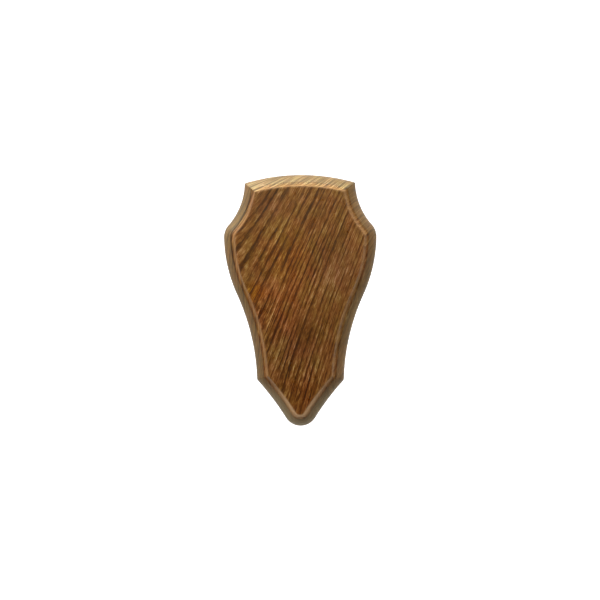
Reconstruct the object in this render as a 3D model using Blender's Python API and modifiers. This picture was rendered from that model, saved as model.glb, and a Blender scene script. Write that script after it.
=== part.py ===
# A small wall plaque for a pair of antlers: one piece of oak cut to a shield, with a flat face,
# a cove and bead run round its front edge, and a keyhole slot routed in its back to hang it by.
# Metres, +Z up. It hangs upright on a wall: the back lies on the plane Y = 0, the front faces -Y,
# and the origin is the middle of the back.

import math

import bmesh
import bpy

HEIGHT = 0.200
THICKNESS = 0.018

# The outline's right half is a chain of arcs, each running smoothly on from the one before it.
# An arc is its radius and the heading at its end, in degrees out from straight down.
# The crown spans the two top corners, and its radius follows from the height.
TOP_CORNER_X = 0.0440
SIDE_START = 1.4
SIDE_ARCS = (
    (0.0519, 41.6),  # neck, hollow
    (0.0149, -1.2),  # shoulder, the widest point
    (0.1152, -24.5),  # upper flank
    (0.1758, -1.6),  # lower flank, hollow, down to the lower corner
)
FOOT_START = -42.2
FOOT_ARC = (0.2150, -32.0)  # the foot's side, hollow
TIP_END = -90.0  # the round tip closes on the middle line, which gives its radius

# The longest straight facet on an arc, and the most that the outline turns between two facets.
# The moulding's mitre takes up this much of the outline on each side of a top corner, so the
# facet there is one straight run of that length.
FACET_LENGTH = 0.0045
FACET_TURN = 5.5
MITRE_RUN = 0.0085

# The moulding is as deep as it is wide. Across it from the outside in: a bead, a small step up,
# a cove, and a fillet up to the face. The slopes are degrees out of the plane of the face: the
# bead starts upright and eases off to the step, and the cove steepens from there to upright.
MOULD_SIZE = 0.0096
BEAD_WIDTH = 0.0061
BEAD_RISE = 0.0054
BEAD_END_SLOPE = 26.0
BEAD_FACETS = 7
QUIRK_WIDTH = 0.0002
QUIRK_RISE = 0.0004
COVE_START_SLOPE = 20.0
COVE_FACETS = 5
FILLET_WIDTH = 0.0002
FILLET_RISE = 0.0005

# The keyhole slot: a screw's head goes in at the round entry, and the slot runs up from there.
# Its lips hold the head, which sits in the wider track behind them.
ENTRY_HEIGHT = 0.0500
HEAD_RADIUS = 0.0050
SHANK_RADIUS = 0.0025
SLOT_RUN = 0.0120
LIP_THICKNESS = 0.0045
SLOT_DEPTH = 0.0090
ARC_FACETS = 16
CUT_OVERLAP = 0.0010

WELD = 0.00001
FLAT_ANGLE = 0.2  # degrees: faces that meet flatter than this are one face
SHARP_ANGLE = 25.0  # degrees: faces that meet sharper than this keep a crisp edge

OAK_BROWN = (0.182, 0.082, 0.023, 1.0)
OAK_ROUGHNESS = 0.45


def clear_scene():
    for old in list(bpy.data.objects):
        bpy.data.objects.remove(old, do_unlink=True)


def new_collection(name):
    collection = bpy.data.collections.new(name)
    bpy.context.scene.collection.children.link(collection)
    return collection


def stained_oak():
    material = bpy.data.materials.new("stained_oak")
    material.use_nodes = True
    shader = material.node_tree.nodes["Principled BSDF"]
    shader.inputs["Base Color"].default_value = OAK_BROWN
    shader.inputs["Roughness"].default_value = OAK_ROUGHNESS
    shader.inputs["Metallic"].default_value = 0.0
    material.diffuse_color = OAK_BROWN
    return material


def facet_ends(radius, turn, mitre_run=0.0):
    # Where an arc's facets end, as angles from its start, after one facet along a mitre
    first = math.degrees(mitre_run / radius)
    rest = turn - first
    facets = max(math.ceil(rest / FACET_TURN),
                 math.ceil(radius * math.radians(rest) / FACET_LENGTH))
    ends = [first + rest * step / facets for step in range(1, facets + 1)]
    return [first] + ends if mitre_run else ends


def arc_points(x, z, heading, radius, heading_end, mitre_run=0.0):
    # Points after (x, z) on an arc that starts there at one heading and ends at another
    turn = heading_end - heading
    side = math.copysign(radius, turn)
    start = math.radians(heading)
    points = []
    for end in facet_ends(radius, abs(turn), mitre_run):
        angle = start + math.radians(math.copysign(end, turn))
        points.append((x + side * (math.cos(start) - math.cos(angle)),
                       z - side * (math.sin(angle) - math.sin(start))))
    return points


def side_points():
    # From the top corner, at height 0 here, down the right side to the tip
    points = [(TOP_CORNER_X, 0.0)]
    heading = SIDE_START
    mitre_run = MITRE_RUN
    for radius, heading_end in SIDE_ARCS:
        points += arc_points(*points[-1], heading, radius, heading_end, mitre_run)
        heading = heading_end
        mitre_run = 0.0
    radius, heading = FOOT_ARC
    points += arc_points(*points[-1], FOOT_START, radius, heading)
    tip_radius = points[-1][0] / math.cos(math.radians(heading))
    return points + arc_points(*points[-1], heading, tip_radius, TIP_END)


def crown_points(rise):
    # From the crown's middle towards the top corner, which lies lower by the crown's rise
    radius = (TOP_CORNER_X ** 2 + rise ** 2) / (2 * rise)
    half_angle = math.degrees(math.asin(TOP_CORNER_X / radius))
    points = []
    for end in reversed(facet_ends(radius, half_angle, MITRE_RUN)):
        angle = math.radians(half_angle - end)
        points.append((radius * math.sin(angle), rise - radius * (1 - math.cos(angle))))
    return points


def shield_outline():
    side = side_points()
    rise = HEIGHT + side[-1][1]
    lift = HEIGHT / 2 - rise
    half = [(x, z + lift) for x, z in crown_points(rise) + side]
    return half + [(-x, z) for x, z in reversed(half[1:-1])]


def slot_outline(radius, run):
    # A slot with round ends, standing on the entry's middle; with no run it is a circle
    points = []
    for end, first in ((ENTRY_HEIGHT, math.pi), (ENTRY_HEIGHT + run, 0.0)):
        for step in range(ARC_FACETS + (run > 0)):
            angle = first + math.pi * step / ARC_FACETS
            points.append((radius * math.cos(angle), end + radius * math.sin(angle)))
    return points


def extruded(name, points, near, far):
    # A flat outline as a 2D curve, standing up between the depths Y = near and Y = far, as a mesh
    curve = bpy.data.curves.new(name, "CURVE")
    curve.dimensions = "2D"
    curve.fill_mode = "BOTH"
    curve.extrude = abs(far - near) / 2
    spline = curve.splines.new("POLY")
    spline.points.add(len(points) - 1)
    for point, (x, z) in zip(spline.points, points):
        point.co = (x, z, 0.0, 1.0)
    spline.use_cyclic_u = True
    shape = bpy.data.objects.new(name, curve)
    shape.rotation_euler = (math.radians(90), 0.0, 0.0)
    shape.location = (0.0, (near + far) / 2, 0.0)
    bpy.context.scene.collection.objects.link(shape)
    bpy.context.view_layer.update()

    evaluated = shape.evaluated_get(bpy.context.evaluated_depsgraph_get())
    mesh = bpy.data.meshes.new_from_object(evaluated)
    mesh.transform(shape.matrix_world)
    bpy.data.objects.remove(shape, do_unlink=True)
    bpy.data.curves.remove(curve)

    # The caps are loose and in triangles, so they are welded on and each made one face
    solid = bmesh.new()
    solid.from_mesh(mesh)
    bmesh.ops.remove_doubles(solid, verts=solid.verts, dist=WELD)
    bmesh.ops.dissolve_limit(solid, angle_limit=math.radians(FLAT_ANGLE),
                             verts=solid.verts, edges=solid.edges)
    bmesh.ops.recalc_face_normals(solid, faces=solid.faces)
    solid.to_mesh(mesh)
    solid.free()
    mesh.name = name
    return bpy.data.objects.new(name, mesh)


def bend(start, middle, end, facets):
    # Points after the start on a curve that leaves it towards the middle and bends to the end
    points = []
    for step in range(1, facets + 1):
        part = step / facets
        points.append(tuple((1 - part) ** 2 * a + 2 * part * (1 - part) * b + part ** 2 * c
                            for a, b, c in zip(start, middle, end)))
    return points


def moulding_profile():
    # Across and up from the plaque's side (0, 0) to its face (1, 1), in parts of MOULD_SIZE
    bead_end = (BEAD_WIDTH, BEAD_RISE)
    bead_fall = BEAD_WIDTH * math.tan(math.radians(BEAD_END_SLOPE))
    points = [(0.0, 0.0)]
    points += bend(points[0], (0.0, BEAD_RISE - bead_fall), bead_end, BEAD_FACETS)

    cove_start = (BEAD_WIDTH + QUIRK_WIDTH, BEAD_RISE + QUIRK_RISE)
    cove_end = (MOULD_SIZE - FILLET_WIDTH, MOULD_SIZE - FILLET_RISE)
    cove_climb = (cove_end[0] - cove_start[0]) * math.tan(math.radians(COVE_START_SLOPE))
    points.append(cove_start)
    points += bend(cove_start, (cove_end[0], cove_start[1] + cove_climb), cove_end, COVE_FACETS)
    points.append((MOULD_SIZE, MOULD_SIZE))
    return [(across / MOULD_SIZE, up / MOULD_SIZE) for across, up in points]


def add_moulding(plaque):
    # A bevel on the front rim alone, with the moulding as its profile and one segment to a facet.
    # The profile runs from the face, at its own (1, 0), to the side, at (0, 1).
    front_rim = plaque.data.attributes.new("bevel_weight_edge", "FLOAT", "EDGE")
    for edge in plaque.data.edges:
        ends = [plaque.data.vertices[index].co.y for index in edge.vertices]
        on_front = all(abs(y + THICKNESS) < WELD for y in ends)
        front_rim.data[edge.index].value = 1.0 if on_front else 0.0

    points = moulding_profile()
    bevel = plaque.modifiers.new("cove and bead", "BEVEL")
    bevel.limit_method = "WEIGHT"
    bevel.offset_type = "OFFSET"
    bevel.width = MOULD_SIZE
    bevel.segments = len(points) - 1
    bevel.use_clamp_overlap = False
    bevel.profile_type = "CUSTOM"
    profile = bevel.custom_profile
    for across, up in reversed(points[1:-1]):
        profile.points.add(up, 1 - across)
    for point in profile.points:
        point.handle_type_1 = "VECTOR"
        point.handle_type_2 = "VECTOR"
    profile.use_sample_straight_edges = False
    profile.use_sample_even_lengths = False
    profile.update()


def keyhole_cutters():
    back = CUT_OVERLAP
    lip = -LIP_THICKNESS
    return (
        extruded("entry_cutter", slot_outline(HEAD_RADIUS, 0.0), back, lip - CUT_OVERLAP),
        extruded("shank_cutter", slot_outline(SHANK_RADIUS, SLOT_RUN), back, lip - CUT_OVERLAP),
        extruded("head_cutter", slot_outline(HEAD_RADIUS, SLOT_RUN), lip, -SLOT_DEPTH),
    )


def cut_keyhole(plaque, collection):
    for cutter in keyhole_cutters():
        collection.objects.link(cutter)
        cutter.hide_render = True
        cutter.display_type = "WIRE"
        cut = plaque.modifiers.new(cutter.name, "BOOLEAN")
        cut.operation = "DIFFERENCE"
        cut.solver = "EXACT"
        cut.object = cutter


def apply_and_smooth(plaque):
    # The finished mesh takes the modifiers' place, with its rounds shaded smooth
    bpy.context.view_layer.update()
    evaluated = plaque.evaluated_get(bpy.context.evaluated_depsgraph_get())
    finished = bpy.data.meshes.new_from_object(evaluated)
    sawn = plaque.data
    plaque.modifiers.clear()
    plaque.data = finished
    bpy.data.meshes.remove(sawn)
    finished.name = plaque.name
    finished.shade_smooth()
    finished.set_sharp_from_angle(angle=math.radians(SHARP_ANGLE))


def main():
    clear_scene()
    parts = new_collection("antler_mounting_plaque")
    cutters = new_collection("cutters")

    plaque = extruded("plaque", shield_outline(), 0.0, -THICKNESS)
    plaque.data.materials.append(stained_oak())
    parts.objects.link(plaque)
    add_moulding(plaque)
    cut_keyhole(plaque, cutters)
    apply_and_smooth(plaque)


main()
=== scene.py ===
# Antler mounting plaque: a small oak shield with a cove and bead edge, stained dark and varnished.
# It hangs upright, front towards -Y, back on the plane Y = 0. Metres, +Z up.

import math

import bmesh
import bpy
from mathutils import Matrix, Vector, geometry, kdtree, noise


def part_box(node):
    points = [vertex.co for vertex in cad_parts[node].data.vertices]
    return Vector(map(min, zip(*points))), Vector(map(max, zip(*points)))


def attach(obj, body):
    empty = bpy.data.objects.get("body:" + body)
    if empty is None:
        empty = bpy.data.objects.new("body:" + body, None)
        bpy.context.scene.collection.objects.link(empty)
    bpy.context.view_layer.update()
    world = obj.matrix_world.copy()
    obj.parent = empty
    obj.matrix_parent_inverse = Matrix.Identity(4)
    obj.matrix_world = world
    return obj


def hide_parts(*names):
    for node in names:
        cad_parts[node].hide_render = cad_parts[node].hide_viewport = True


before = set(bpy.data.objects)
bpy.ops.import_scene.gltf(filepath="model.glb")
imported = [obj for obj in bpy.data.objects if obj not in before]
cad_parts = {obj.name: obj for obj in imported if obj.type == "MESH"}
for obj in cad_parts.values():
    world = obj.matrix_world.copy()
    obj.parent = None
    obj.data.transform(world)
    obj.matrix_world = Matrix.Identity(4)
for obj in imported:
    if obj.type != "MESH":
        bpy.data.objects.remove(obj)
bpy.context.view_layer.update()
boardLow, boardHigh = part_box("plaque")
mm = 0.001


# Camera, first, so that everything else is judged through it

cameraSetup = {
    "distance": 0.85,
    "azimuth": 3.0,  # degrees to the right of square on
    "elevation": 1.3,
    "roll": 0.17,
    "lens": 64.05,
    "sensor": 36.0,
    "aim": (-0.0001, -0.009, 0.0006),
}


def placeCamera(setup):
    data = bpy.data.cameras.new("photoCamera")
    data.lens = setup["lens"]
    data.sensor_width = setup["sensor"]
    camera = bpy.data.objects.new("photoCamera", data)
    bpy.context.scene.collection.objects.link(camera)
    azimuth = math.radians(setup["azimuth"])
    elevation = math.radians(setup["elevation"])
    away = Vector((math.sin(azimuth) * math.cos(elevation),
                   -math.cos(azimuth) * math.cos(elevation),
                   math.sin(elevation)))
    camera.location = Vector(setup["aim"]) + away * setup["distance"]
    turn = away.to_track_quat("Z", "Y").to_euler()
    turn.rotate_axis("Z", math.radians(-setup["roll"]))
    camera.rotation_euler = turn
    bpy.context.scene.camera = camera
    print("camera placed")


# The board's shape

board = {
    # the right half of the outline: each arc is radius, heading at its start and at its end,
    # in degrees out from straight down; the crown's radius and the tip's follow from the height
    "topCorner": 44.0 * mm,
    "sideArcs": [
        (51.9 * mm, 1.4, 41.6),  # neck
        (14.9 * mm, 41.6, -1.2),  # shoulder
        (115.2 * mm, -1.2, -24.5),  # upper flank
        (175.8 * mm, -24.5, -1.6),  # lower flank
        (215.0 * mm, -42.2, -32.0),  # foot
    ],
    "lowerCornerAfter": 3,  # the lower corner lies after this side arc
    "pointGap": 1.3 * mm,  # along the outline
    "arcPoints": 12,  # at least so many on each arc
    "cornerRound": (0.9 * mm, 0.3 * mm),  # sanding of the corners, at the outline and at the face
    "cornerPoints": 5,
    # the moulding, across from the outline and up from the back
    "backLoop": 1.2 * mm,  # a loop on the flat back, to hold its edge
    "backRound": 0.4 * mm,
    "sideHeight": 8.4 * mm,
    "beadWidth": 6.1 * mm,
    "beadRise": 5.4 * mm,
    "beadEndSlope": 26.0,
    "quirkWidth": 0.2 * mm,
    "quirkRise": 0.4 * mm,
    "quirkDip": 0.15 * mm,
    "quirkFloor": (0.4, 0.8),  # where its floor starts and ends, in parts of its width
    "coveStartSlope": 20.0,
    "mouldWidth": 9.6 * mm,
    "filletWidth": 0.2 * mm,
    "filletRise": 0.5 * mm,
    "arrisRound": 0.45 * mm,
    "roundPoints": 4,
    "sidePoints": 5,
    "beadPoints": 16,
    "covePoints": 11,
    # wear pulls the crisp edges in, more in some places than in others
    "edgeWear": 0.10 * mm,
    "wearPatch": 7.0 * mm,
    "wearSharpness": 3,
    "wearOnFace": 0.4,  # the part of it that reaches the face
    "skin": 0.005 * mm,  # how far the mesh stays inside the solid's outline
    # the face
    "faceGap": 0.95 * mm,  # between the points of its mesh
    "rimGap": 0.75,  # in gaps, from the rim to the nearest of them
    "fillWeld": 1e-7,  # points closer than this become one
    "ringRelief": 0.05 * mm,
    "reliefFade": 3.0 * mm,  # in from the rim
    # the keyhole slot in the back
    "entryHeight": 50.0 * mm,
    "headRadius": 5.0 * mm,
    "shankRadius": 2.5 * mm,
    "slotRun": 12.0 * mm,
    "lipThickness": 4.5 * mm,
    "slotDepth": 9.0 * mm,
    "slotPoints": 24,
    "cutPast": 1.0 * mm,  # how far the cutting plugs overlap and stand out
    "cutWeld": 0.001 * mm,  # after the cut, points closer than this become one
    "sharpAngle": 45.0,  # edges that turn by more than this, in degrees, are shaded sharp
}

# The tree's rings run round a pith that stands left of the board and behind it, leans and curves.
# The mesh's slight relief and the material's colour both come from these values, in millimetres.
# Here and further on, a fade is a tuple: from, to, and then its value at each end if not 0 and 1.
oakRings = {
    "pithX": -78.0,
    "pithBehind": 80.0,
    "leanX": 0.25,  # per unit of height
    "leanY": -0.11,
    "curve": 0.00055,  # in x, per square of height
    "width": 2.6,
    "unevenness": ((0.45, 0.21, 0.0), (0.25, 0.53, 1.3)),  # how much, how often, where it starts
    "reliefRise": (0.15, 0.5),  # from soft early wood to hard late wood, in parts of a ring
    "reliefFall": 0.08,
    "raggedness": 0.44,  # in parts of a ring
    "earlyStart": (0.0, 0.06),
    "earlyFade": (0.12, 0.50, 1.0, 0.0),
    "outerCalm": (108.0, 150.0, 1.0, 0.7),  # by the radius from the pith
    "flatSawn": (82.0, 90.0, 1.0, 0.0),  # by the same radius
    "evenRadius": 0.3,  # what the radius, and the way across, add to the even course of pores
    "evenAcross": 0.9,
    "latePores": 0.3,  # how open the pores stay in late wood
    "patchScale": 0.035,
}


def outward(heading):
    angle = math.radians(heading)
    return math.cos(angle), math.sin(angle)


class Arc:
    # One arc of the outline; bend is 1 where it swells and -1 where it is hollow
    def __init__(self, start, radius, headingStart, headingEnd):
        self.bend = 1 if headingEnd < headingStart else -1
        self.radius = radius
        self.headings = (headingStart, headingEnd)
        out = outward(headingStart)
        self.centre = tuple(s - self.bend * radius * o for s, o in zip(start, out))

    def size(self, inset):
        return self.radius - self.bend * inset

    def point(self, heading, inset=0.0):
        reach = self.bend * self.size(inset)
        return tuple(c + reach * o for c, o in zip(self.centre, outward(heading)))

    def headingAt(self, point, inset):
        reach = self.bend * self.size(inset)
        across, up = ((p - c) / reach for p, c in zip(point, self.centre))
        return math.degrees(math.atan2(up, across))

    def length(self):
        return self.radius * math.radians(abs(self.headings[1] - self.headings[0]))


def layOutline(values, height, middle):
    # The arcs from the crown's middle down the right side to the tip
    side = []
    start = (values["topCorner"], 0.0)
    for radius, headingStart, headingEnd in values["sideArcs"]:
        side.append(Arc(start, radius, headingStart, headingEnd))
        start = side[-1].point(headingEnd)
    tipRadius = start[0] / math.cos(math.radians(headingEnd))
    side.append(Arc(start, tipRadius, headingEnd, -90.0))
    rise = height + side[-1].point(-90.0)[1]
    crownRadius = (values["topCorner"] ** 2 + rise ** 2) / (2 * rise)
    crownEnd = 90.0 - math.degrees(math.asin(values["topCorner"] / crownRadius))
    arcs = [Arc((0.0, rise), crownRadius, 90.0, crownEnd)] + side
    lift = middle + height / 2 - rise
    for arc in arcs:
        arc.centre = (arc.centre[0], arc.centre[1] + lift)
    return arcs


def crossing(first, second, inset, near):
    # Where two arcs meet once both are moved in by the same inset: the mitre's point
    radiusA, radiusB = first.size(inset), second.size(inset)
    dx, dz = (b - a for a, b in zip(first.centre, second.centre))
    apart = math.hypot(dx, dz)
    along = (apart ** 2 + radiusA ** 2 - radiusB ** 2) / (2 * apart)
    off = math.sqrt(max(radiusA ** 2 - along ** 2, 0.0))
    found = []
    for sign in (1, -1):
        found.append((first.centre[0] + (along * dx - sign * off * dz) / apart,
                      first.centre[1] + (along * dz + sign * off * dx) / apart))
    return min(found, key=lambda p: math.hypot(p[0] - near[0], p[1] - near[1]))


def bend(start, middle, end, count):
    # Points after the start on a curve that leaves it towards the middle and bends to the end
    points = []
    for step in range(1, count + 1):
        part = step / count
        points.append(tuple((1 - part) ** 2 * a + 2 * part * (1 - part) * b + part ** 2 * c
                            for a, b, c in zip(start, middle, end)))
    return points


def insetLoop(arcs, values, inset):
    # The whole outline moved in by the inset, with its corners mitred and a little sanded
    corners = {0, values["lowerCornerAfter"] + 1}
    outer, inner = values["cornerRound"]
    sanded = outer + (inner - outer) * min(max(inset / values["mouldWidth"], 0.0), 1.0)
    headings = [list(arc.headings) for arc in arcs]
    mitres = {}
    for corner in corners:
        first, second = arcs[corner], arcs[corner + 1]
        mitre = crossing(first, second, inset, first.point(first.headings[1]))
        mitres[corner] = mitre
        headings[corner][1] = (first.headingAt(mitre, inset)
                               + first.bend * math.degrees(sanded / first.size(inset)))
        headings[corner + 1][0] = (second.headingAt(mitre, inset)
                                   - second.bend * math.degrees(sanded / second.size(inset)))
    half = []
    for index, arc in enumerate(arcs):
        start, end = headings[index]
        count = max(round(arc.length() / values["pointGap"]), values["arcPoints"])
        first = 0 if index == 0 or index - 1 in corners else 1
        for step in range(first, count + 1):
            half.append(arc.point(start + (end - start) * step / count, inset))
        if index in corners:
            after = arcs[index + 1].point(headings[index + 1][0], inset)
            half += bend(half[-1], mitres[index], after, values["cornerPoints"])[:-1]
        if index == 0:
            crownPoints = len(half) - values["cornerPoints"] // 2
    half[0] = (0.0, half[0][1])
    half[-1] = (0.0, half[-1][1])
    marked = [(x, z, float(number < crownPoints)) for number, (x, z) in enumerate(half)]
    return marked + [(-x, z, crown) for x, z, crown in reversed(marked[1:-1])]


def mouldingStations(values, thickness):
    # (inset, height above the back) from the flat back round the side and up to the face
    back, side = values["backRound"], values["sideHeight"]
    width, arris = values["mouldWidth"], values["arrisRound"]
    beadEnd = (values["beadWidth"], side + values["beadRise"])
    beadFall = values["beadWidth"] * math.tan(math.radians(values["beadEndSlope"]))
    quirk = values["quirkWidth"]
    floorStart, floorEnd = values["quirkFloor"]
    coveStart = (beadEnd[0] + quirk, beadEnd[1] + values["quirkRise"])
    coveEnd = (width - values["filletWidth"], thickness - values["filletRise"])
    climb = (coveEnd[0] - coveStart[0]) * math.tan(math.radians(values["coveStartSlope"]))
    stations = [(values["backLoop"], 0.0), (back, 0.0)]
    stations += bend((back, 0.0), (0.0, 0.0), (0.0, back), values["roundPoints"])
    for step in range(1, values["sidePoints"] + 1):
        stations.append((0.0, back + (side - back) * step / values["sidePoints"]))
    stations += bend((0.0, side), (0.0, beadEnd[1] - beadFall), beadEnd, values["beadPoints"])
    stations.append((beadEnd[0] + quirk * floorStart, beadEnd[1] - values["quirkDip"]))
    stations.append((beadEnd[0] + quirk * floorEnd, beadEnd[1]))
    stations.append(coveStart)
    stations += bend(coveStart, (coveEnd[0], coveStart[1] + climb), coveEnd, values["covePoints"])
    stations.append((width, thickness - arris))
    stations += bend((width, thickness - arris), (width, thickness), (width + arris, thickness),
                     values["roundPoints"])
    return stations


def ringCoordinate(point):
    # Which growth ring a place in the wood lies in, counted from the pith
    x, y, z = (value / mm for value in point)
    across = x - oakRings["pithX"] - (oakRings["leanX"] + oakRings["curve"] * z) * z
    behind = oakRings["pithBehind"] - y + oakRings["leanY"] * z
    radius = math.hypot(across, behind)
    rings = radius / oakRings["width"]
    for amount, often, start in oakRings["unevenness"]:
        rings += amount * math.sin(radius * often + start)
    return rings


def ringHeight(point):
    # 0 in the soft early wood, 1 in the hard late wood that sanding leaves standing
    part = ringCoordinate(point) % 1.0
    soft, hard = oakRings["reliefRise"]
    rise = min(max((part - soft) / (hard - soft), 0.0), 1.0)
    return rise * min((1.0 - part) / oakRings["reliefFall"], 1.0)


def buildShell(values):
    # Side, moulding and edges as rings of quads, and the face as a fine mesh inside the last ring
    thickness = boardHigh[1] - boardLow[1]
    height = boardHigh[2] - boardLow[2]
    arcs = layOutline(values, height, (boardHigh[2] + boardLow[2]) / 2)
    shell = bmesh.new()
    insetLayer = shell.verts.layers.float.new("inset")
    crownLayer = shell.verts.layers.float.new("crown")
    loops = []
    for inset, up in mouldingStations(values, thickness):
        loop = []
        crisp = inset > values["mouldWidth"] - values["filletWidth"] / 2
        share = values["wearOnFace"] if up >= thickness else 1.0
        for x, z, crown in insetLoop(arcs, values, inset + values["skin"]):
            y = boardHigh[1] - up
            if crisp:
                wear = noise.noise(Vector((x, 0.0, z)) / values["wearPatch"]) * 0.5 + 0.5
                y += values["edgeWear"] * wear ** values["wearSharpness"] * share
            vert = shell.verts.new((x, y, z))
            vert[insetLayer] = inset / mm
            vert[crownLayer] = crown
            loop.append(vert)
        loops.append(loop)
    for outer, inner in zip(loops, loops[1:]):
        for index in range(len(outer)):
            after = (index + 1) % len(outer)
            shell.faces.new((outer[index], outer[after], inner[after], inner[index]))
    shell.faces.new(loops[0])
    fillFace(shell, insetLayer, loops[-1], values)
    bmesh.ops.recalc_face_normals(shell, faces=shell.faces)
    mesh = bpy.data.meshes.new("oakShield")
    shell.to_mesh(mesh)
    shell.free()
    return mesh


def fillFace(shell, insetLayer, rim, values):
    # A triangle mesh over the face, dense enough to carry the rings' slight relief
    gap = values["faceGap"]
    rimPoints = [Vector((vert.co.x, vert.co.z)) for vert in rim]
    tree = kdtree.KDTree(len(rimPoints))
    for index, point in enumerate(rimPoints):
        tree.insert((point.x, point.y, 0.0), index)
    tree.balance()
    lowX, highX = min(p.x for p in rimPoints), max(p.x for p in rimPoints)
    lowZ, highZ = min(p.y for p in rimPoints), max(p.y for p in rimPoints)
    rowGap = gap * math.sqrt(0.75)  # rows of even-sided triangles
    inner = []
    for row in range(int((highZ - lowZ) / rowGap) + 1):
        z = lowZ + row * rowGap
        for column in range(int((highX - lowX) / gap) + 1):
            x = lowX + (column + 0.5 * (row % 2)) * gap
            if tree.find((x, z, 0.0))[2] > gap * values["rimGap"]:
                inner.append(Vector((x, z)))
    rimEdges = [(index, (index + 1) % len(rimPoints)) for index in range(len(rimPoints))]
    filled = geometry.delaunay_2d_cdt(rimPoints + inner, rimEdges, [], 1, values["fillWeld"])
    places, triangles = filled[0], filled[2]
    depth = boardLow[1]
    faceVerts = list(rim)
    for place in places[len(rim):]:
        away = tree.find((place.x, place.y, 0.0))[2]
        fade = min(away / values["reliefFade"], 1.0)
        soft = 1.0 - ringHeight((place.x, depth, place.y))
        vert = shell.verts.new((place.x, depth + values["ringRelief"] * soft * fade, place.y))
        vert[insetLayer] = values["mouldWidth"] / mm + away / mm
        faceVerts.append(vert)
    for triangle in triangles:
        shell.faces.new([faceVerts[index] for index in triangle])


def slotPlug(name, values, radius, run, near, far):
    # A round-ended plug standing on the keyhole's entry, to cut with
    count = values["slotPoints"]
    shape = bmesh.new()
    rim = []
    for end, first in ((values["entryHeight"], math.pi), (values["entryHeight"] + run, 0.0)):
        for step in range(count + (run > 0)):
            angle = first + math.pi * step / count
            across, up = radius * math.cos(angle), radius * math.sin(angle)
            rim.append(shape.verts.new((across, near, end + up)))
    cap = shape.faces.new(rim)
    pushed = bmesh.ops.extrude_face_region(shape, geom=[cap])["geom"]
    bmesh.ops.translate(shape, vec=(0.0, far - near, 0.0),
                        verts=[item for item in pushed if isinstance(item, bmesh.types.BMVert)])
    bmesh.ops.recalc_face_normals(shape, faces=shape.faces)
    mesh = bpy.data.meshes.new(name)
    shape.to_mesh(mesh)
    shape.free()
    plug = bpy.data.objects.new(name, mesh)
    bpy.context.scene.collection.objects.link(plug)
    return plug


def cutKeyhole(shield, values):
    head, shank, run = values["headRadius"], values["shankRadius"], values["slotRun"]
    lip = boardHigh[1] - values["lipThickness"]
    outside = boardHigh[1] + values["cutPast"]
    inside = lip - values["cutPast"]
    floor = boardHigh[1] - values["slotDepth"]
    plugs = [
        slotPlug("entryPlug", values, head, 0.0, outside, inside),
        slotPlug("shankPlug", values, shank, run, outside, inside),
        slotPlug("headPlug", values, head, run, lip, floor),
    ]
    for plug in plugs:
        cut = shield.modifiers.new(plug.name, "BOOLEAN")
        cut.operation = "DIFFERENCE"
        cut.solver = "EXACT"
        cut.object = plug
    bpy.context.view_layer.update()
    evaluated = shield.evaluated_get(bpy.context.evaluated_depsgraph_get())
    cutMesh = bpy.data.meshes.new_from_object(evaluated)
    shield.modifiers.clear()
    # the cut can leave two points on one spot
    joined = bmesh.new()
    joined.from_mesh(cutMesh)
    bmesh.ops.remove_doubles(joined, verts=joined.verts, dist=values["cutWeld"])
    joined.to_mesh(cutMesh)
    joined.free()
    shield.data = cutMesh
    for plug in plugs:
        bpy.data.objects.remove(plug, do_unlink=True)


def markBack(mesh, values):
    # The second material goes on the flat back and inside the keyhole
    facingBack = 0.99
    halfRun = values["slotRun"] / 2
    slotMiddle = values["entryHeight"] + halfRun
    slotReach = values["headRadius"] + halfRun
    slotFloor = boardHigh[1] - values["slotDepth"] - values["cutPast"]
    for polygon in mesh.polygons:
        x, y, z = polygon.center
        onBack = (polygon.normal.y > facingBack
                  and y > boardHigh[1] - values["backRound"] / 2)
        inSlot = (abs(x) < values["headRadius"] and y > slotFloor
                  and abs(z - slotMiddle) < slotReach)
        polygon.material_index = 1 if onBack or inSlot else 0


# Shader building

def paint(red, green, blue):
    # A colour as a picture program gives it, 0 to 255, for a shader's socket. A tint that
    # multiplies another colour can go above 255.
    linear = []
    for value in (red, green, blue):
        value /= 255
        linear.append(value / 12.92 if value <= 0.04045 else ((value + 0.055) / 1.055) ** 2.4)
    return (*linear, 1.0)


def put(tree, socket, value):
    if isinstance(value, bpy.types.NodeSocket):
        tree.links.new(value, socket)
    else:
        socket.default_value = value


def maths(tree, operation, *values):
    node = tree.nodes.new("ShaderNodeMath")
    node.operation = operation
    for socket, value in zip(node.inputs, values):
        put(tree, socket, value)
    return node.outputs[0]


def product(tree, first, *others):
    for other in others:
        first = maths(tree, "MULTIPLY", first, other)
    return first


def vectorMaths(tree, operation, *values):
    node = tree.nodes.new("ShaderNodeVectorMath")
    node.operation = operation
    for socket, value in zip(node.inputs, values):
        put(tree, socket, value)
    isNumber = operation in ("DOT_PRODUCT", "LENGTH", "DISTANCE")
    return node.outputs["Value" if isNumber else "Vector"]


def joinVector(tree, x, y, z=0.0):
    node = tree.nodes.new("ShaderNodeCombineXYZ")
    for socket, value in zip(node.inputs, (x, y, z)):
        put(tree, socket, value)
    return node.outputs[0]


def splitVector(tree, vector):
    node = tree.nodes.new("ShaderNodeSeparateXYZ")
    put(tree, node.inputs[0], vector)
    return node.outputs


def mixColours(tree, factor, first, second, blend="MIX"):
    node = tree.nodes.new("ShaderNodeMix")
    node.data_type = "RGBA"
    node.blend_type = blend
    put(tree, node.inputs["Factor"], factor)
    put(tree, node.inputs["A"], first)
    put(tree, node.inputs["B"], second)
    return node.outputs["Result"]


def smoothStep(tree, value, low, high, atLow=0.0, atHigh=1.0):
    node = tree.nodes.new("ShaderNodeMapRange")
    node.interpolation_type = "SMOOTHSTEP"
    for name, amount in (("Value", value), ("From Min", low), ("From Max", high),
                         ("To Min", atLow), ("To Max", atHigh)):
        put(tree, node.inputs[name], amount)
    return node.outputs["Result"]


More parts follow.
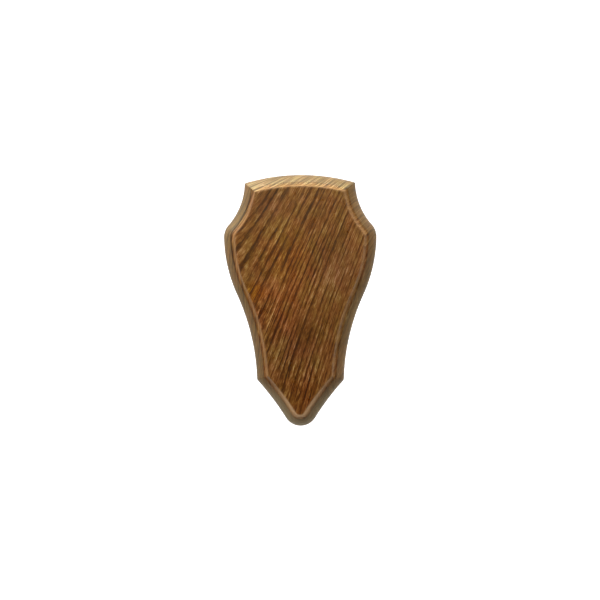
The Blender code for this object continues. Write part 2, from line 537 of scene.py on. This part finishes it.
def noiseAt(tree, vector, scale=1.0, detail=2.0, roughness=0.5):
    node = tree.nodes.new("ShaderNodeTexNoise")
    put(tree, node.inputs["Vector"], vector)
    for name, amount in (("Scale", scale), ("Detail", detail), ("Roughness", roughness)):
        put(tree, node.inputs[name], amount)
    return node.outputs["Fac"]


def ramp(tree, value, stops):
    # Stops can lie above 1, and the last one's colour holds beyond it
    top = stops[-1][0]
    node = tree.nodes.new("ShaderNodeValToRGB")
    put(tree, node.inputs["Fac"], maths(tree, "DIVIDE", value, top))
    elements = node.color_ramp.elements
    while len(elements) < len(stops):
        elements.new(0.5)
    for element, (position, colour) in zip(elements, stops):
        element.position = position / top
        element.color = colour
    return node.outputs["Color"]


def newGroup(name, inputs, outputs):
    group = bpy.data.node_groups.new(name, "ShaderNodeTree")
    for label in inputs:
        group.interface.new_socket(label, in_out="INPUT", socket_type="NodeSocketFloat")
    for label in outputs:
        group.interface.new_socket(label, in_out="OUTPUT", socket_type="NodeSocketFloat")
    given = group.nodes.new("NodeGroupInput").outputs
    return group, given, group.nodes.new("NodeGroupOutput").inputs


def place(tree, group, finish):
    # A group's inputs have the names of the finish's values
    node = tree.nodes.new("ShaderNodeGroup")
    node.node_tree = group
    for socket in node.inputs:
        socket.default_value = finish[socket.name]
    return node.outputs


def woodPlace(tree):
    # Where in the board a point lies, in millimetres
    coordinates = tree.nodes.new("ShaderNodeTexCoord")
    scaled = tree.nodes.new("ShaderNodeVectorMath")
    scaled.operation = "SCALE"
    put(tree, scaled.inputs[0], coordinates.outputs["Object"])
    put(tree, scaled.inputs["Scale"], 1.0 / mm)
    return scaled.outputs[0]


# Every noise of the figure. It runs outwards with the radius from the pith, or evenly over the
# face. Then come how often it changes per millimetre outwards, along the fibres and across them,
# its shift, detail and roughness, and the fade that makes a mask of it.
oakGrain = {
    "ragged": ("radius", 0.70, 0.030, 0.20, 31.0, 2.0, 0.5, None),
    "broken": ("radius", 0.35, 0.022, 0.03, 11.0, 2.0, 0.5, (0.34, 0.58, 0.3, 1.0)),
    "strokes": ("radius", 0.90, 0.034, 0.12, 53.0, 2.0, 0.5, (0.53, 0.66)),
    "gleams": ("radius", 1.20, 0.040, 0.15, 87.0, 2.0, 0.5, (0.54, 0.70)),
    "streaks": ("radius", 0.80, 0.030, 0.10, 7.0, 3.0, 0.6, None),
    "lines": ("radius", 1.35, 0.022, 0.06, 67.0, 2.0, 0.6, None),
    "pores": ("even", 1.90, 0.300, 0.15, 0.0, 2.0, 0.5, (0.52, 0.64)),
    "flecks": ("even", 4.20, 0.400, 0.30, 41.0, 2.0, 0.5, (0.56, 0.63)),
    "fine": ("even", 1.10, 0.180, 0.08, 19.0, 3.0, 0.5, None),
}


def ringGroup(values, grain):
    # The wood's figure: growth rings round the leaning pith, with streaks and pores that follow
    # both the rings and the fibres
    group, given, out = newGroup(
        "oakRings",
        ["middleTone", "earlyDarker", "strokesDarker", "poresDarker", "flecksDarker",
         "gleamsPaler", "streaksSwing", "fineSwing", "linesSwing", "patchSwing"],
        ["tone", "early", "lines", "pores", "flecks", "patches"])
    where = woodPlace(group)
    x, y, z = splitVector(group, where)
    lean = maths(group, "MULTIPLY_ADD", z, values["curve"], values["leanX"])
    across = maths(group, "SUBTRACT", maths(group, "SUBTRACT", x, values["pithX"]),
                   maths(group, "MULTIPLY", z, lean))
    behind = maths(group, "ADD", maths(group, "SUBTRACT", values["pithBehind"], y),
                   maths(group, "MULTIPLY", z, values["leanY"]))
    radius = vectorMaths(group, "LENGTH", joinVector(group, across, behind))
    rings = maths(group, "DIVIDE", radius, values["width"])
    for amount, often, start in values["unevenness"]:
        wave = maths(group, "SINE", maths(group, "MULTIPLY_ADD", radius, often, start))
        rings = maths(group, "MULTIPLY_ADD", wave, amount, rings)

    fibre = Vector((values["leanX"], values["leanY"], 1.0)).normalized()
    sideways = Vector((1.0, 0.0, -values["leanX"])).normalized()
    along = vectorMaths(group, "DOT_PRODUCT", where, fibre)
    acrossFibre = vectorMaths(group, "DOT_PRODUCT", where, sideways)

    # runs evenly over the face, where the radius grows slowly at first and then faster
    beyond = maths(group, "SUBTRACT", product(group, radius, radius), values["pithBehind"] ** 2)
    even = maths(group, "SQRT", maths(group, "MAXIMUM", beyond, 0.0))
    even = maths(group, "MULTIPLY_ADD", radius, values["evenRadius"], even)
    # close to the pith, at the back, the rings lie flat and only the fibres draw lines
    flatSawn = product(group, across, smoothStep(group, radius, *values["flatSawn"]))
    even = maths(group, "MULTIPLY_ADD", flatSawn, values["evenAcross"], even)

    marks = {}
    for name, row in grain.items():
        course, outOften, alongOften, acrossOften, shift, detail, roughness, fade = row
        outwards = radius if course == "radius" else even
        stretched = joinVector(group, maths(group, "MULTIPLY_ADD", outwards, outOften, shift),
                               maths(group, "MULTIPLY", acrossFibre, acrossOften),
                               maths(group, "MULTIPLY", along, alongOften))
        marks[name] = noiseAt(group, stretched, detail=detail, roughness=roughness)
        if fade:
            marks[name] = smoothStep(group, marks[name], *fade)
    marks["patches"] = noiseAt(group, where, scale=values["patchScale"])

    raggedness = values["raggedness"]
    shifted = maths(group, "MULTIPLY_ADD", marks["ragged"], raggedness, -raggedness / 2)
    part = maths(group, "FRACT", maths(group, "ADD", rings, shifted))
    calm = smoothStep(group, radius, *values["outerCalm"])
    early = product(group, smoothStep(group, part, *values["earlyFade"]),
                    smoothStep(group, part, *values["earlyStart"]), marks["broken"], calm)
    late = values["latePores"]
    inEarly = maths(group, "MULTIPLY_ADD", early, 1.0 - late, late)
    openPores = product(group, marks["pores"], inEarly)

    tone = maths(group, "MULTIPLY_ADD", marks["gleams"], given["gleamsPaler"], given["middleTone"])
    for label, name in (("streaksSwing", "streaks"), ("fineSwing", "fine"),
                        ("linesSwing", "lines"), ("patchSwing", "patches")):
        swing = maths(group, "SUBTRACT", marks[name], 0.5)
        tone = maths(group, "MULTIPLY_ADD", swing, given[label], tone)
    for label, mask in (("earlyDarker", early),
                        ("strokesDarker", product(group, marks["strokes"], calm, inEarly)),
                        ("poresDarker", openPores), ("flecksDarker", marks["flecks"])):
        tone = maths(group, "SUBTRACT", tone, product(group, mask, given[label]))
    for label, value in (("tone", tone), ("early", early), ("lines", marks["lines"]),
                         ("pores", openPores), ("flecks", marks["flecks"]),
                         ("patches", marks["patches"])):
        put(group, out[label], value)
    return group


# Where the edge's marks lie, in millimetres in from the outline if nothing else is said
edgeMarks = {
    "patchScale": 0.12,
    "patchDetail": 3.0,
    "bandCore": 0.3,  # how much of a band has its full strength
    "footLightByHeight": (-85.0, -60.0, 1.0, 0.0),  # by height: painted light on the foot, which faces down
    "creaseHalf": 0.9,  # either side of the quirk
    "creaseDarkest": (-42.0, -14.0, 55.0),  # where the crease's painted shade is darkest
    "creaseReach": (22.0, 45.0, 1.0, 0.05),  # away from there
    "creaseOffCrown": 0.95,  # how much of it is missing on the crown
    # the band at the arris: partly wear, partly a painted highlight
    "wornMiddle": -0.7,  # from the arris
    "wornHalf": 1.8,
    "wornPatches": (0.35, 0.60, 0.35, 1.0),  # by a noise
    "wornAtFoot": 0.6,  # how much more there, painted light on the foot, which faces down
    # the bead's painted sheen, a pale grey
    "beadStart": (0.0, 1.6),
    "beadEnd": (-0.6, 0.3, 1.0, 0.0),  # from the quirk
    # how much more painted sheen on the foot, which faces down
    "beadAtFoot": 0.8,
    # the band of painted light on the foot
    "footStart": (1.5, 3.0),
    "footRise": (5.2, 8.2, 0.15, 1.0),
    "footEnd": (-0.2, 0.9, 1.0, 0.0),  # from the arris
    "rimStart": (0.0, 0.5),
    "rimEnd": (0.5, 2.2, 1.0, 0.0),
    "mouldingEnd": (-0.4, 0.1, 1.0, 0.0),  # from the arris
}


def edgeGroup(values):
    # Masks across the moulding, from each point's distance in from the outline; several of them
    # place painted light and shade
    group, given, out = newGroup(
        "edgeMarks",
        ["beadStrength", "crownStrength", "creaseShadeStrength", "rimStrength", "wornAndHighlightStrength",
         "footLightStrength", "wornRoughness", "mouldingRoughness"],
        ["bead", "crown", "creaseShade", "rim", "wornAndHighlight", "footLight", "onMoulding", "onCrown", "rougher"])

    def layer(name):
        attribute = group.nodes.new("ShaderNodeAttribute")
        attribute.attribute_name = name
        return attribute.outputs["Fac"]

    inset, crown = layer("inset"), layer("crown")
    where = woodPlace(group)
    patchy = noiseAt(group, where, scale=values["patchScale"], detail=values["patchDetail"])
    # painted light: 1 low on the foot, which faces down, and 0 higher up
    footLight = smoothStep(group, splitVector(group, where)["Z"], *values["footLightByHeight"])
    quirk = (board["beadWidth"] + board["quirkWidth"] / 2) / mm
    arris = board["mouldWidth"] / mm

    def fade(name, start=0.0):
        low, high, *ends = values[name]
        return smoothStep(group, inset, start + low, start + high, *ends)

    def band(middle, half):
        away = maths(group, "ABSOLUTE", maths(group, "SUBTRACT", inset, middle))
        return smoothStep(group, away, half * values["bandCore"], half, 1.0, 0.0)

    # painted shade in the crease, darkest near one place and nearly gone on the crown
    away = vectorMaths(group, "DISTANCE", where, values["creaseDarkest"])
    offCrown = maths(group, "MULTIPLY_ADD", crown, -values["creaseOffCrown"], 1.0)
    creaseShade = product(group, band(quirk, values["creaseHalf"]), offCrown,
                     smoothStep(group, away, *values["creaseReach"]))
    # paler at the arris: partly wear, partly a painted highlight, with more painted light on the
    # foot
    wornHere = maths(group, "MULTIPLY_ADD", footLight, values["wornAtFoot"],
                     smoothStep(group, patchy, *values["wornPatches"]))
    wornAndHighlight = product(group, band(arris + values["wornMiddle"], values["wornHalf"]), wornHere)
    # painted sheen over the bead, more of it on the foot
    beadHere = maths(group, "MULTIPLY_ADD", footLight, values["beadAtFoot"], 1.0)
    bead = product(group, fade("beadStart"), fade("beadEnd", quirk), beadHere)
    # painted light on the foot, rising towards the arris
    footLightBand = product(group, fade("footStart"), fade("footRise"), fade("footEnd", arris), footLight)
    rim = product(group, fade("rimStart"), fade("rimEnd"))
    moulding = fade("mouldingEnd", arris)
    # the crown's moulding, which is painted paler as if lit from above
    onCrown = product(group, crown, moulding)
    for label, mask in (("bead", bead), ("crown", onCrown), ("creaseShade", creaseShade), ("rim", rim),
                        ("wornAndHighlight", wornAndHighlight), ("footLight", footLightBand)):
        put(group, out[label], product(group, mask, given[label + "Strength"]))
    put(group, out["onMoulding"], moulding)
    put(group, out["onCrown"], onCrown)
    rougher = product(group, moulding, given["mouldingRoughness"])
    put(group, out["rougher"], maths(group, "MULTIPLY_ADD", wornAndHighlight, given["wornRoughness"], rougher))
    return group


# Finish of the front: dark stain, worn paler on the arrises, under satin varnish, with light and
# shade painted on the moulding

frontFinish = {
    "tones": [  # from the darkest wood to the palest
        (0.00, paint(60, 30, 7)),
        (0.30, paint(82, 45, 12)),
        (0.55, paint(115, 71, 26)),
        (0.80, paint(151, 105, 54)),
        (1.00, paint(188, 146, 96)),
        (1.25, paint(226, 196, 140)),
    ],
    "middleTone": 0.745,
    "earlyDarker": 0.44,
    "strokesDarker": 0.22,
    "poresDarker": 0.30,
    "flecksDarker": 0.22,
    "gleamsPaler": 0.08,
    "streaksSwing": 0.5,
    "fineSwing": 1.0,
    "linesSwing": 0.55,
    "patchSwing": 0.3,
    # places where the figure is bolder: middle in x and z, size, how much more
    "bolder": [
        (-28.0, -9.0, 14.0, 0.5),
        (-18.0, -38.0, 16.0, 0.25),
        (-2.0, -60.0, 15.0, 0.5),
    ],
    "bolderEdge": (0.5, 1.5),  # where it starts to fade and is gone, in sizes
    "bolderMiddle": 0.70,  # darker tones than this turn darker, paler ones paler
    "mouldingCalm": 0.22,  # how far the moulding is drawn to the next value
    "mouldingTone": 0.66,
    # the crown's paler tone is painted light from above; its lines and rings are grain
    "crownLightTone": 0.17,
    "crownLines": 3.2,
    "crownRings": 0.28,
    "hues": [(0.38, paint(262, 246, 242)), (0.62, paint(254, 256, 232))],
    "hueStretch": (1.0, 1.0, 0.55),  # drawn out along the grain
    "hueScale": 0.11,
    "hueDetail": 1.0,
    # places where the stain took golden, red or dark: middle in x and z, size, tint, strength
    "blotches": [
        (-36.0, 7.0, 9.0, paint(280, 262, 170), 0.9),
        (-12.0, 43.0, 24.0, paint(262, 258, 205), 0.6),
        (-20.0, -12.0, 22.0, paint(270, 240, 235), 0.7),
        (-2.0, -32.0, 20.0, paint(240, 226, 240), 0.8),
        (-6.0, 14.0, 28.0, paint(276, 258, 250), 0.9),
        (4.0, -72.0, 24.0, paint(246, 218, 190), 0.8),
        (-30.0, 78.0, 22.0, paint(232, 226, 236), 0.9),
        (30.0, 22.0, 26.0, paint(256, 254, 290), 0.8),
    ],
    "blotchEdge": (0.8, 1.8),
    "blotchWobble": 1.2,  # in sizes
    # painted sheen: a pale grey over the bead
    "beadColour": paint(124, 108, 78),
    "beadStrength": 0.45,
    # painted light: the crown paler, as if lit from above
    "crownColour": paint(176, 146, 90),
    "crownStrength": 0.15,
    # painted shade in the crease
    "creaseShadeColour": paint(58, 28, 8),
    "creaseShadeStrength": 0.8,
    "rimColour": paint(96, 82, 54),
    "rimStrength": 0.5,
    # the arris worn paler, with a painted highlight there too
    "wornAndHighlightColour": paint(184, 136, 84),
    "wornAndHighlightStrength": 0.4,
    # painted light on the foot, which faces down
    "footLightColour": paint(222, 180, 134),
    "footLightStrength": 0.6,
    "roughness": 0.30,
    "glossScale": 0.12,
    "glossDetail": 3.0,
    "glossSwing": 0.16,
    "poreRoughness": 0.2,
    "wornRoughness": 0.5,
    "mouldingRoughness": 0.12,
    "specular": 0.6,
    "amber": (1.0, 0.95, 0.62, 1.0),  # the varnish's tint in its reflections
    "varnish": 0.10,
    "varnishRoughness": 0.20,
    "poreDepth": 0.02 * mm,
    "poreShare": 0.6,  # how deep the pores are beside the finer flecks
}


def oakMaterial(name, rings, edges, finish):
    material = bpy.data.materials.new(name)
    material.use_nodes = True
    tree = material.node_tree
    shader = tree.nodes["Principled BSDF"]
    figure = place(tree, rings, finish)
    marks = place(tree, edges, finish)
    where = woodPlace(tree)
    flat = vectorMaths(tree, "MULTIPLY", where, (1.0, 0.0, 1.0))  # the depth left out

    def spot(x, z, size, strength, edge, wobble=0.0):
        away = vectorMaths(tree, "DISTANCE", flat, (x, 0.0, z))
        if wobble:
            away = maths(tree, "MULTIPLY_ADD", figure["patches"], size * wobble, away)
        return smoothStep(tree, away, size * edge[0], size * edge[1], strength, 0.0)

    tone = figure["tone"]
    for x, z, size, more in finish["bolder"]:
        swing = maths(tree, "SUBTRACT", tone, finish["bolderMiddle"])
        bolder = spot(x, z, size, more, finish["bolderEdge"])
        tone = maths(tree, "MULTIPLY_ADD", swing, bolder, tone)

    # the moulding is calmer, and the crown's is paler, painted light from above, with bolder lines
    calm = maths(tree, "MULTIPLY", marks["onMoulding"], finish["mouldingCalm"])
    swing = maths(tree, "SUBTRACT", finish["mouldingTone"], tone)
    tone = maths(tree, "MULTIPLY_ADD", swing, calm, tone)
    lines = maths(tree, "SUBTRACT", figure["lines"], 0.5)
    lines = maths(tree, "MULTIPLY_ADD", lines, finish["crownLines"], finish["crownLightTone"])
    lines = maths(tree, "MULTIPLY_ADD", figure["early"], -finish["crownRings"], lines)
    tone = maths(tree, "MULTIPLY_ADD", lines, marks["onCrown"], tone)
    colour = ramp(tree, tone, finish["tones"])

    # the hue wanders in patches a centimetre across
    squeezed = vectorMaths(tree, "MULTIPLY", where, finish["hueStretch"])
    wander = noiseAt(tree, squeezed, scale=finish["hueScale"], detail=finish["hueDetail"])
    colour = mixColours(tree, 1.0, colour, ramp(tree, wander, finish["hues"]), "MULTIPLY")
    for x, z, size, tint, strength in finish["blotches"]:
        blotch = spot(x, z, size, strength, finish["blotchEdge"], finish["blotchWobble"])
        colour = mixColours(tree, blotch, colour, tint, "MULTIPLY")
    # painted sheen on the bead, the crown painted paler, painted shade in the crease, the rim,
    # wear with a painted highlight at the arris, and painted light on the foot
    for mark in ("bead", "crown", "creaseShade", "rim", "wornAndHighlight", "footLight"):
        if finish[mark + "Strength"]:
            colour = mixColours(tree, marks[mark], colour, finish[mark + "Colour"])
    put(tree, shader.inputs["Base Color"], colour)

    swing = finish["glossSwing"]
    gloss = noiseAt(tree, where, scale=finish["glossScale"], detail=finish["glossDetail"])
    rough = maths(tree, "MULTIPLY_ADD", gloss, swing, finish["roughness"] - swing / 2)
    rough = maths(tree, "MULTIPLY_ADD", figure["pores"], finish["poreRoughness"], rough)
    put(tree, shader.inputs["Roughness"], maths(tree, "ADD", rough, marks["rougher"]))
    shader.inputs["Specular IOR Level"].default_value = finish["specular"]
    shader.inputs["Specular Tint"].default_value = finish["amber"]
    shader.inputs["Coat Weight"].default_value = finish["varnish"]
    shader.inputs["Coat Roughness"].default_value = finish["varnishRoughness"]

    bump = tree.nodes.new("ShaderNodeBump")
    bump.inputs["Strength"].default_value = 1.0
    bump.inputs["Distance"].default_value = finish["poreDepth"]
    pores = maths(tree, "MULTIPLY", figure["pores"], -finish["poreShare"])
    put(tree, bump.inputs["Height"], maths(tree, "SUBTRACT", pores, figure["flecks"]))
    put(tree, shader.inputs["Normal"], bump.outputs["Normal"])
    return material


# The back is bare sanded oak, with no stain, wear or varnish

backFinish = dict(frontFinish)
backFinish.update({
    "tones": [
        (0.00, paint(96, 64, 38)),
        (0.30, paint(134, 98, 64)),
        (0.55, paint(158, 120, 82)),
        (0.80, paint(176, 140, 100)),
        (1.00, paint(194, 160, 120)),
    ],
    "linesSwing": 0.25,
    "bolder": [],
    "crownLightTone": 0.0,
    "crownLines": 0.0,
    "crownRings": 0.0,
    "hues": [(0.30, paint(255, 248, 244)), (0.70, paint(250, 255, 244))],
    "blotches": [],
    "beadStrength": 0.0,
    "crownStrength": 0.0,
    "creaseShadeStrength": 0.0,
    "rimStrength": 0.0,
    "wornAndHighlightStrength": 0.0,
    "footLightStrength": 0.0,
    "roughness": 0.7,
    "wornRoughness": 0.0,
    "mouldingRoughness": 0.0,
    "specular": 0.2,
    "amber": (1.0, 1.0, 1.0, 1.0),
    "varnish": 0.0,
})


def buildPlaque():
    shield = bpy.data.objects.new("oakShield", buildShell(board))
    bpy.context.scene.collection.objects.link(shield)
    cutKeyhole(shield, board)
    mesh = shield.data
    mesh.name = "oakShield"
    mesh.materials.clear()
    rings, edges = ringGroup(oakRings, oakGrain), edgeGroup(edgeMarks)
    mesh.materials.append(oakMaterial("varnishedOak", rings, edges, frontFinish))
    mesh.materials.append(oakMaterial("bareOakBack", rings, edges, backFinish))
    markBack(mesh, board)
    mesh.shade_smooth()
    mesh.set_sharp_from_angle(angle=math.radians(board["sharpAngle"]))
    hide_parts("plaque")
    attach(shield, "root")
    print("plaque built:", sum(len(p.vertices) - 2 for p in mesh.polygons), "triangles")


# Studio: a pale sweep far behind and below, a large soft light above and to the left

studio = {
    "floorDrop": 0.62,
    "floorFrom": -0.10,  # only just ahead of the board, so that little of its light meets the face
    "wallBehind": 1.30,
    "sweepRadius": 0.5,
    "sweepPoints": 12,
    "reach": 3.0,
    "sweepSeen": 1.0,  # how bright it looks, and how much light it gives
    "sweepGlow": 0.70,
    "sweepColour": 0.8,
    "skyRise": (-0.15, 0.75, 1.0, 2.5),  # brighter with height
    "skyFront": (-0.38, 0.0, 0.02, 1.0),  # nearly dark on the camera's side
    "skySeen": 1.0,
    "keyFrom": (-0.25, -0.62, 0.74),
    "keyDistance": 0.75,
    "keySize": (0.9, 0.6),
    "keyPower": 7.4,
}
white = (1.0, 1.0, 1.0, 1.0)


def whenSeen(tree, socket, asLight, toCamera):
    # One value for the light it gives and another for how bright it looks to the camera
    path = tree.nodes.new("ShaderNodeLightPath")
    choice = tree.nodes.new("ShaderNodeMix")
    put(tree, choice.inputs["Factor"], path.outputs["Is Camera Ray"])
    put(tree, choice.inputs["A"], asLight)
    put(tree, choice.inputs["B"], toCamera)
    put(tree, socket, choice.outputs["Result"])


def buildSweep(setup):
    # Floor, curve and wall in one sheet
    floor = -setup["floorDrop"]
    wall = setup["wallBehind"]
    radius = setup["sweepRadius"]
    line = [(setup["floorFrom"], floor), (wall - radius, floor)]
    line += bend(line[-1], (wall, floor), (wall, floor + radius), setup["sweepPoints"])
    line.append((wall, setup["reach"]))
    sheet = bmesh.new()
    left, right = ([sheet.verts.new((x, y, z)) for y, z in line]
                   for x in (-setup["reach"], setup["reach"]))
    for index in range(len(line) - 1):
        sheet.faces.new((left[index], right[index], right[index + 1], left[index + 1]))
    mesh = bpy.data.meshes.new("studioSweep")
    sheet.to_mesh(mesh)
    sheet.free()
    mesh.shade_smooth()
    sweep = bpy.data.objects.new("studioSweep", mesh)
    bpy.context.scene.collection.objects.link(sweep)
    material = bpy.data.materials.new("paleSweep")
    material.use_nodes = True
    shader = material.node_tree.nodes["Principled BSDF"]
    pale = setup["sweepColour"]
    shader.inputs["Base Color"].default_value = (pale, pale, pale, 1.0)
    shader.inputs["Roughness"].default_value = 1.0
    shader.inputs["Specular IOR Level"].default_value = 0.0
    shader.inputs["Emission Color"].default_value = white
    whenSeen(material.node_tree, shader.inputs["Emission Strength"], setup["sweepGlow"],
             setup["sweepSeen"])
    mesh.materials.append(material)
    print("sweep built")


def lightStudio(setup):
    scene = bpy.context.scene
    scene.view_settings.view_transform = "Standard"
    world = bpy.data.worlds.new("studio")
    scene.world = world
    world.use_nodes = True
    tree = world.node_tree
    background = tree.nodes["Background"]
    coordinates = tree.nodes.new("ShaderNodeTexCoord")
    _, y, z = splitVector(tree, coordinates.outputs["Generated"])
    height = smoothStep(tree, z, *setup["skyRise"])
    front = smoothStep(tree, y, *setup["skyFront"])
    sky = product(tree, height, front)
    whenSeen(tree, background.inputs["Strength"], sky, setup["skySeen"])
    background.inputs["Color"].default_value = white

    data = bpy.data.lights.new("keyLight", "AREA")
    data.shape = "RECTANGLE"
    data.size, data.size_y = setup["keySize"]
    data.energy = setup["keyPower"]
    key = bpy.data.objects.new("keyLight", data)
    scene.collection.objects.link(key)
    away = Vector(setup["keyFrom"]).normalized()
    key.location = away * setup["keyDistance"]
    key.rotation_euler = away.to_track_quat("Z", "Y").to_euler()
    print("studio lit")


placeCamera(cameraSetup)
buildPlaque()
buildSweep(studio)
lightStudio(studio)
